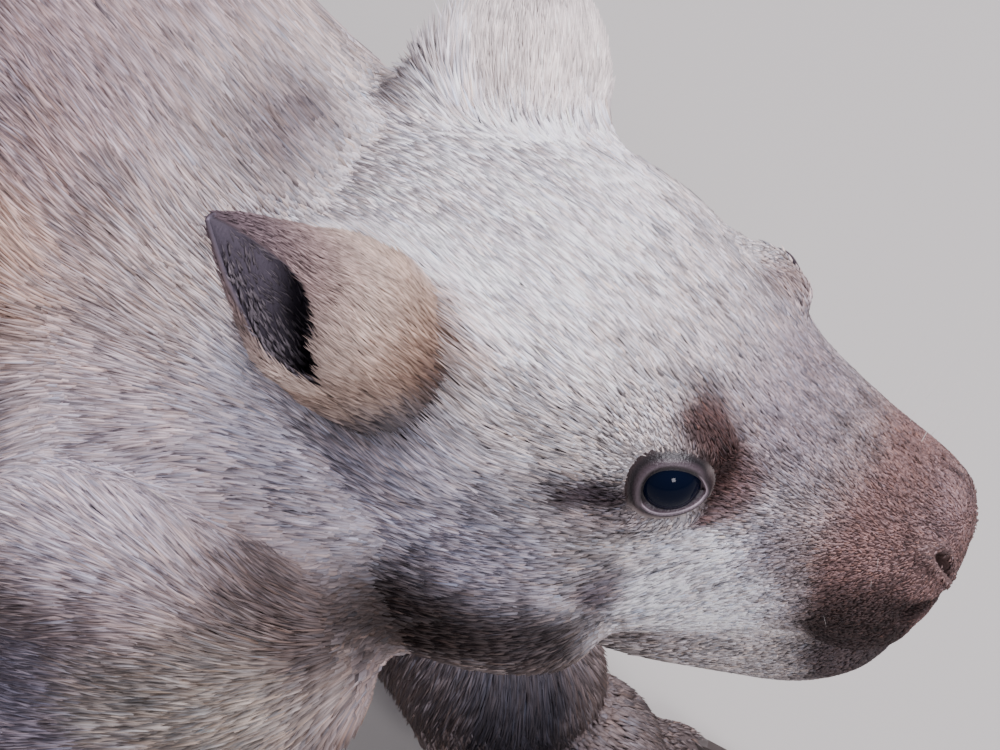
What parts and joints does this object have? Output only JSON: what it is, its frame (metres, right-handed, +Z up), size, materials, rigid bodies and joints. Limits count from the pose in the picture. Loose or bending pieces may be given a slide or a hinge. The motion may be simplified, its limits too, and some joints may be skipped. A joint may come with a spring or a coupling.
{
  "type": "wombat",
  "caption": "Life-size standing southern hairy-nosed wombat with its head lowered and one forefoot stepping ahead, as a still museum model.",
  "frame": {"origin": "on the floor, at the middle of the model's box seen from above", "axes": "+X is the way the animal faces, +Y its left side, +Z up"},
  "size_m": [0.909, 0.3459, 0.3749],
  "materials": {
    "coat": "matt, silver grey and tan fur",
    "bare_skin": "matt, dark grey bare skin",
    "horn": "worn dark horn",
    "eye": "wet, near black"
  },
  "bodies": {
    "root": {"torso": "coat", "neck": "coat", "tail": "coat", "head": "coat", "ear_right": "coat", "ear_left": "coat", "leg_fore_right": "coat", "leg_fore_left": "coat", "leg_hind_right": "coat", "leg_hind_left": "coat", "eye_right": "eye", "eye_left": "eye", "paw_fore_right": "bare_skin", "claw_fore_right_1": "horn", "claw_fore_right_2": "horn", "claw_fore_right_3": "horn", "claw_fore_right_4": "horn", "claw_fore_right_5": "horn", "paw_fore_left": "bare_skin", "claw_fore_left_1": "horn", "claw_fore_left_2": "horn", "claw_fore_left_3": "horn", "claw_fore_left_4": "horn", "claw_fore_left_5": "horn", "paw_hind_right": "bare_skin", "claw_hind_right_1": "horn", "claw_hind_right_2": "horn", "claw_hind_right_3": "horn", "claw_hind_right_4": "horn", "paw_hind_left": "bare_skin", "claw_hind_left_1": "horn", "claw_hind_left_2": "horn", "claw_hind_left_3": "horn", "claw_hind_left_4": "horn"}
  },
  "joints": []
}
